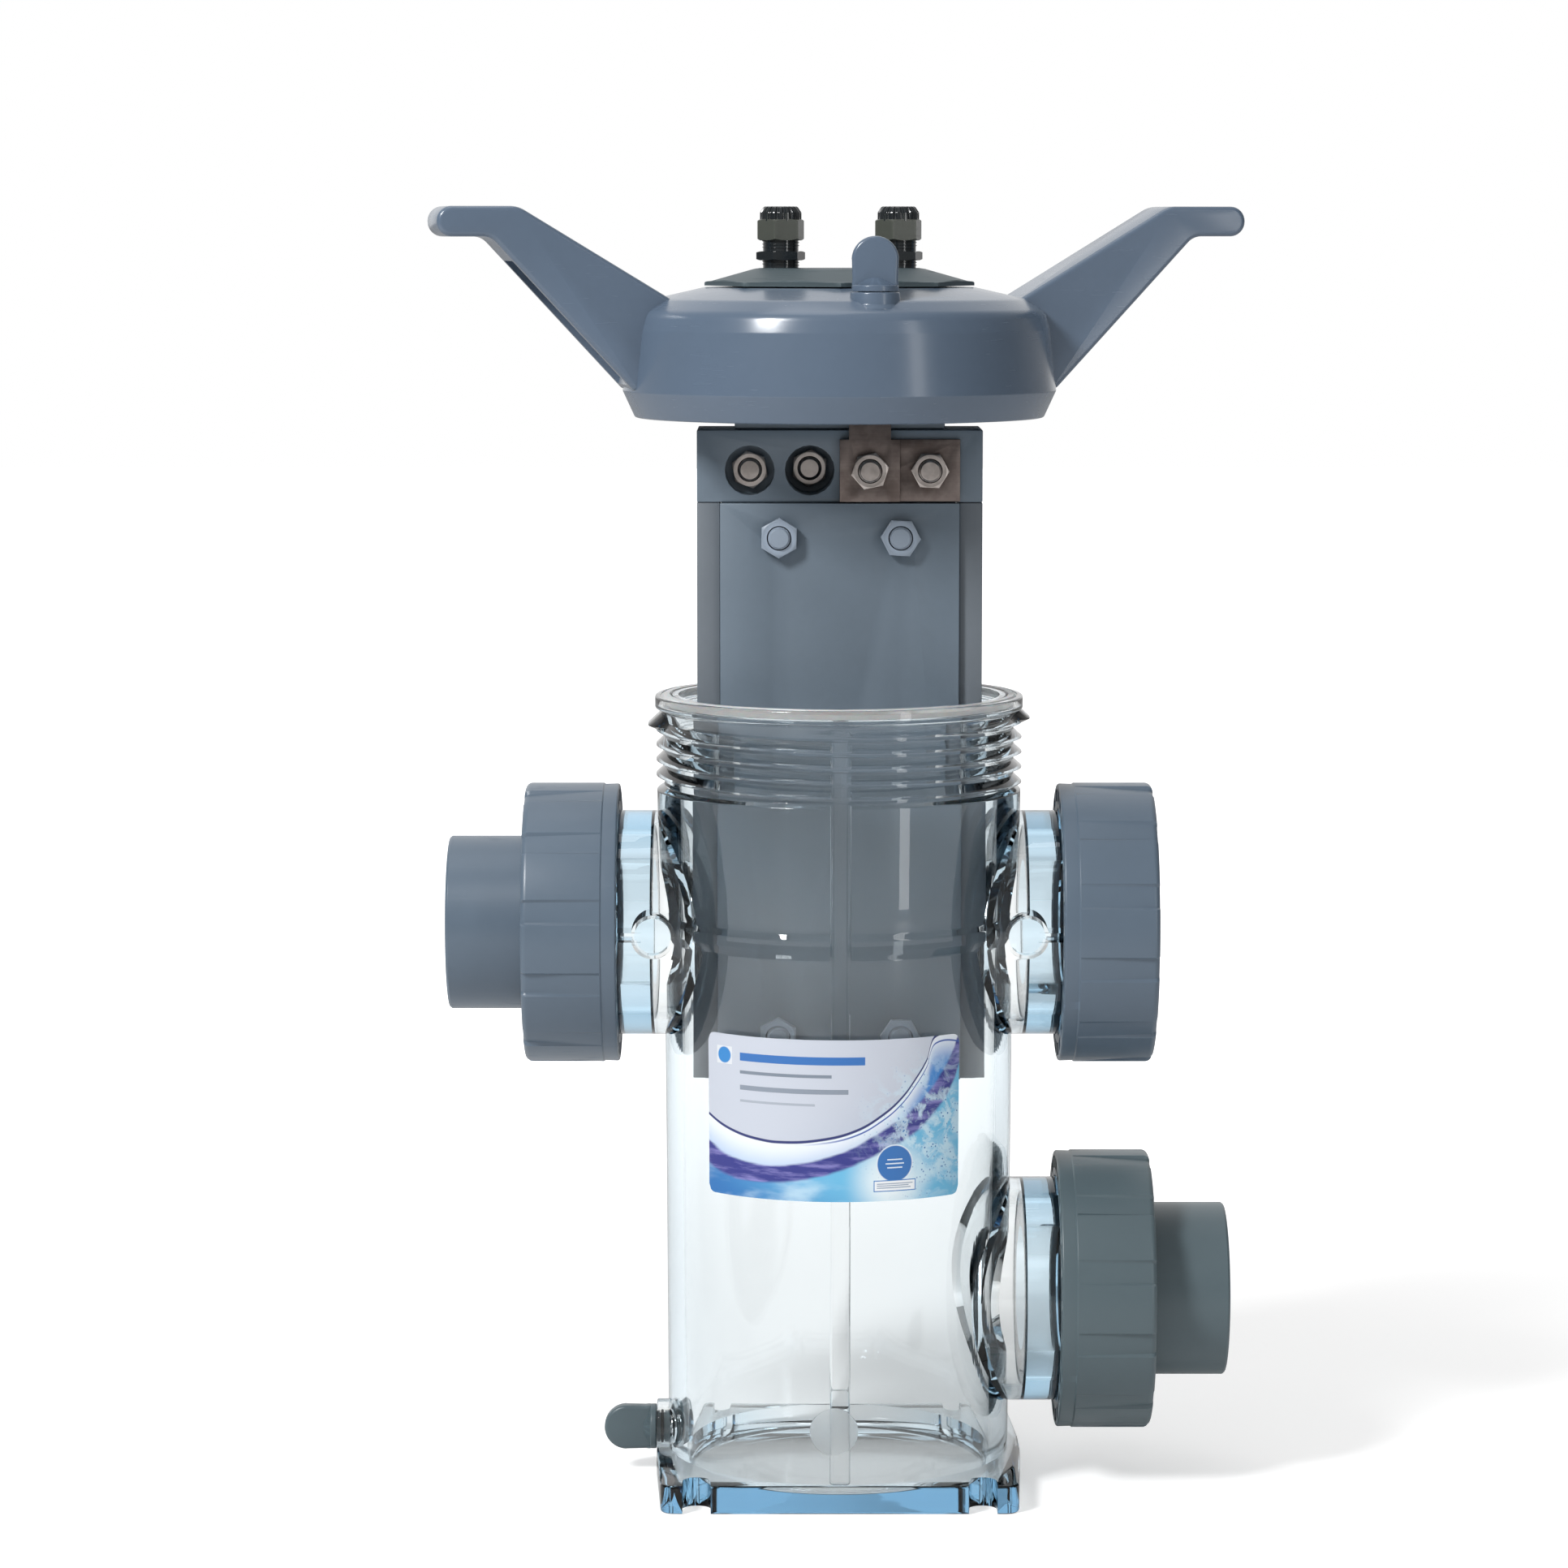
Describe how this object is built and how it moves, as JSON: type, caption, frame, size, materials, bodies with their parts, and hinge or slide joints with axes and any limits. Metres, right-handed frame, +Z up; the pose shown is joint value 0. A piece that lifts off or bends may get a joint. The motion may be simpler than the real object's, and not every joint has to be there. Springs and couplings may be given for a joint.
{
  "type": "salt chlorine generator",
  "caption": "Clear upright vessel with threaded union ports and a drain plug; a handled screw lid lifts an electrode cell out of its open top.",
  "frame": {"origin": "on the axis of the vessel, on the underside of its base", "axes": "+Z up the axis of the vessel; X runs through the ports, with two ports on +X and one on -X; the label faces -Y"},
  "size_m": [0.3482, 0.185, 0.549],
  "materials": {
    "clear_vessel": "clear, faintly blue, gloss",
    "grey_pvc": "semi-gloss",
    "green_grey_pvc": "semi-gloss",
    "cell_pvc": "satin",
    "titanium": "dull",
    "coated_titanium": "matt dark coating",
    "black_nylon": "gloss",
    "silicone_ring": "matt, translucent",
    "black_rubber": "matt",
    "label_film": "printed, satin"
  },
  "bodies": {
    "vessel": {"vessel_body": "clear_vessel", "vessel_base": "clear_vessel", "upper_left_stub": "clear_vessel", "upper_right_stub": "clear_vessel", "lower_right_stub": "clear_vessel", "rim_ring": "silicone_ring", "label": "label_film"},
    "cell": {"cell_head": "cell_pvc", "terminal_plate": "green_grey_pvc", "gland_body_left": "black_nylon", "gland_body_right": "black_nylon", "gland_seal_left": "black_rubber", "gland_seal_right": "black_rubber", "terminal_block": "cell_pvc", "front_panel": "cell_pvc", "back_panel": "cell_pvc", "left_side_wall": "cell_pvc", "right_side_wall": "cell_pvc", "electrode_plate_1": "coated_titanium", "electrode_plate_2": "coated_titanium", "electrode_plate_3": "coated_titanium", "electrode_plate_4": "coated_titanium", "electrode_plate_5": "coated_titanium", "electrode_plate_6": "coated_titanium", "tie_bolt_lower_left": "cell_pvc", "tie_bolt_lower_right": "cell_pvc", "tie_bolt_upper_left": "cell_pvc", "tie_bolt_upper_right": "cell_pvc", "tie_nut_lower_left": "cell_pvc", "tie_nut_lower_right": "cell_pvc", "tie_nut_upper_left": "cell_pvc", "tie_nut_upper_right": "cell_pvc", "terminal_bolt_1": "titanium", "terminal_bolt_2": "titanium", "terminal_bolt_3": "titanium", "terminal_bolt_4": "titanium", "terminal_nut_1": "titanium", "terminal_nut_2": "titanium", "terminal_nut_3": "titanium", "terminal_nut_4": "titanium", "link_plate_front": "titanium", "link_plate_back": "titanium", "bus_strap_front": "titanium", "bus_strap_back": "titanium"},
    "screw_lid": {"lid": "grey_pvc"},
    "vent_seal": {"vent_ring": "black_rubber"},
    "vent_screw": {"vent_plug": "grey_pvc"},
    "left_gland_cap": {"gland_nut_left": "black_nylon"},
    "right_gland_cap": {"gland_nut_right": "black_nylon"},
    "upper_left_tail": {"upper_left_tailpiece": "grey_pvc", "upper_left_ring": "black_rubber"},
    "upper_left_union_nut": {"upper_left_nut": "grey_pvc"},
    "upper_right_blank": {"upper_right_blank_plug": "grey_pvc", "upper_right_ring": "black_rubber"},
    "upper_right_union_nut": {"upper_right_nut": "grey_pvc"},
    "lower_right_tail": {"lower_right_tailpiece": "green_grey_pvc", "lower_right_ring": "black_rubber"},
    "lower_right_union_nut": {"lower_right_nut": "green_grey_pvc"},
    "drain_seal": {"drain_ring": "black_rubber"},
    "drain_screw": {"drain_plug": "green_grey_pvc"}
  },
  "joints": [
    {"name": "cell_lift", "type": "slide", "parent": "vessel", "child": "cell", "axis": [0, 0, 1], "range_m": [-0.1462, 0.175]},
    {"name": "lid_turn", "type": "hinge", "parent": "cell", "child": "screw_lid", "pos_m": [0, 0, 0.4885], "axis": [0, 0, 1], "continuous": true},
    {"name": "vent_draw", "type": "slide", "parent": "screw_lid", "child": "vent_seal", "axis": [0, 0, 1], "range_m": [0, 0.03]},
    {"name": "vent_turn", "type": "hinge", "parent": "vent_seal", "child": "vent_screw", "pos_m": [0.01389, -0.07146, 0.5137], "axis": [0, 0, 1], "continuous": true},
    {"name": "left_gland_turn", "type": "hinge", "parent": "cell", "child": "left_gland_cap", "pos_m": [-0.025, 0, 0.54], "axis": [0, 0, 1], "continuous": true},
    {"name": "right_gland_turn", "type": "hinge", "parent": "cell", "child": "right_gland_cap", "pos_m": [0.025, 0, 0.54], "axis": [0, 0, 1], "continuous": true},
    {"name": "upper_left_draw", "type": "slide", "parent": "vessel", "child": "upper_left_tail", "axis": [-1, 0, 0], "range_m": [0, 0.06]},
    {"name": "upper_left_nut_turn", "type": "hinge", "parent": "upper_left_tail", "child": "upper_left_union_nut", "pos_m": [-0.1145, 0, 0.242], "axis": [-1, 0, 0], "continuous": true},
    {"name": "upper_right_draw", "type": "slide", "parent": "vessel", "child": "upper_right_blank", "axis": [1, 0, 0], "range_m": [0, 0.06]},
    {"name": "upper_right_nut_turn", "type": "hinge", "parent": "upper_right_blank", "child": "upper_right_union_nut", "pos_m": [0.1145, 0, 0.242], "axis": [1, 0, 0], "continuous": true},
    {"name": "lower_right_draw", "type": "slide", "parent": "vessel", "child": "lower_right_tail", "axis": [1, 0, 0], "range_m": [0, 0.06]},
    {"name": "lower_right_nut_turn", "type": "hinge", "parent": "lower_right_tail", "child": "lower_right_union_nut", "pos_m": [0.1145, 0, 0.081], "axis": [1, 0, 0], "continuous": true},
    {"name": "drain_draw", "type": "slide", "parent": "vessel", "child": "drain_seal", "axis": [-1, 0, 0], "range_m": [0, 0.03]},
    {"name": "drain_turn", "type": "hinge", "parent": "drain_seal", "child": "drain_screw", "pos_m": [-0.079, 0, 0.0195], "axis": [-1, 0, 0], "continuous": true}
  ]
}
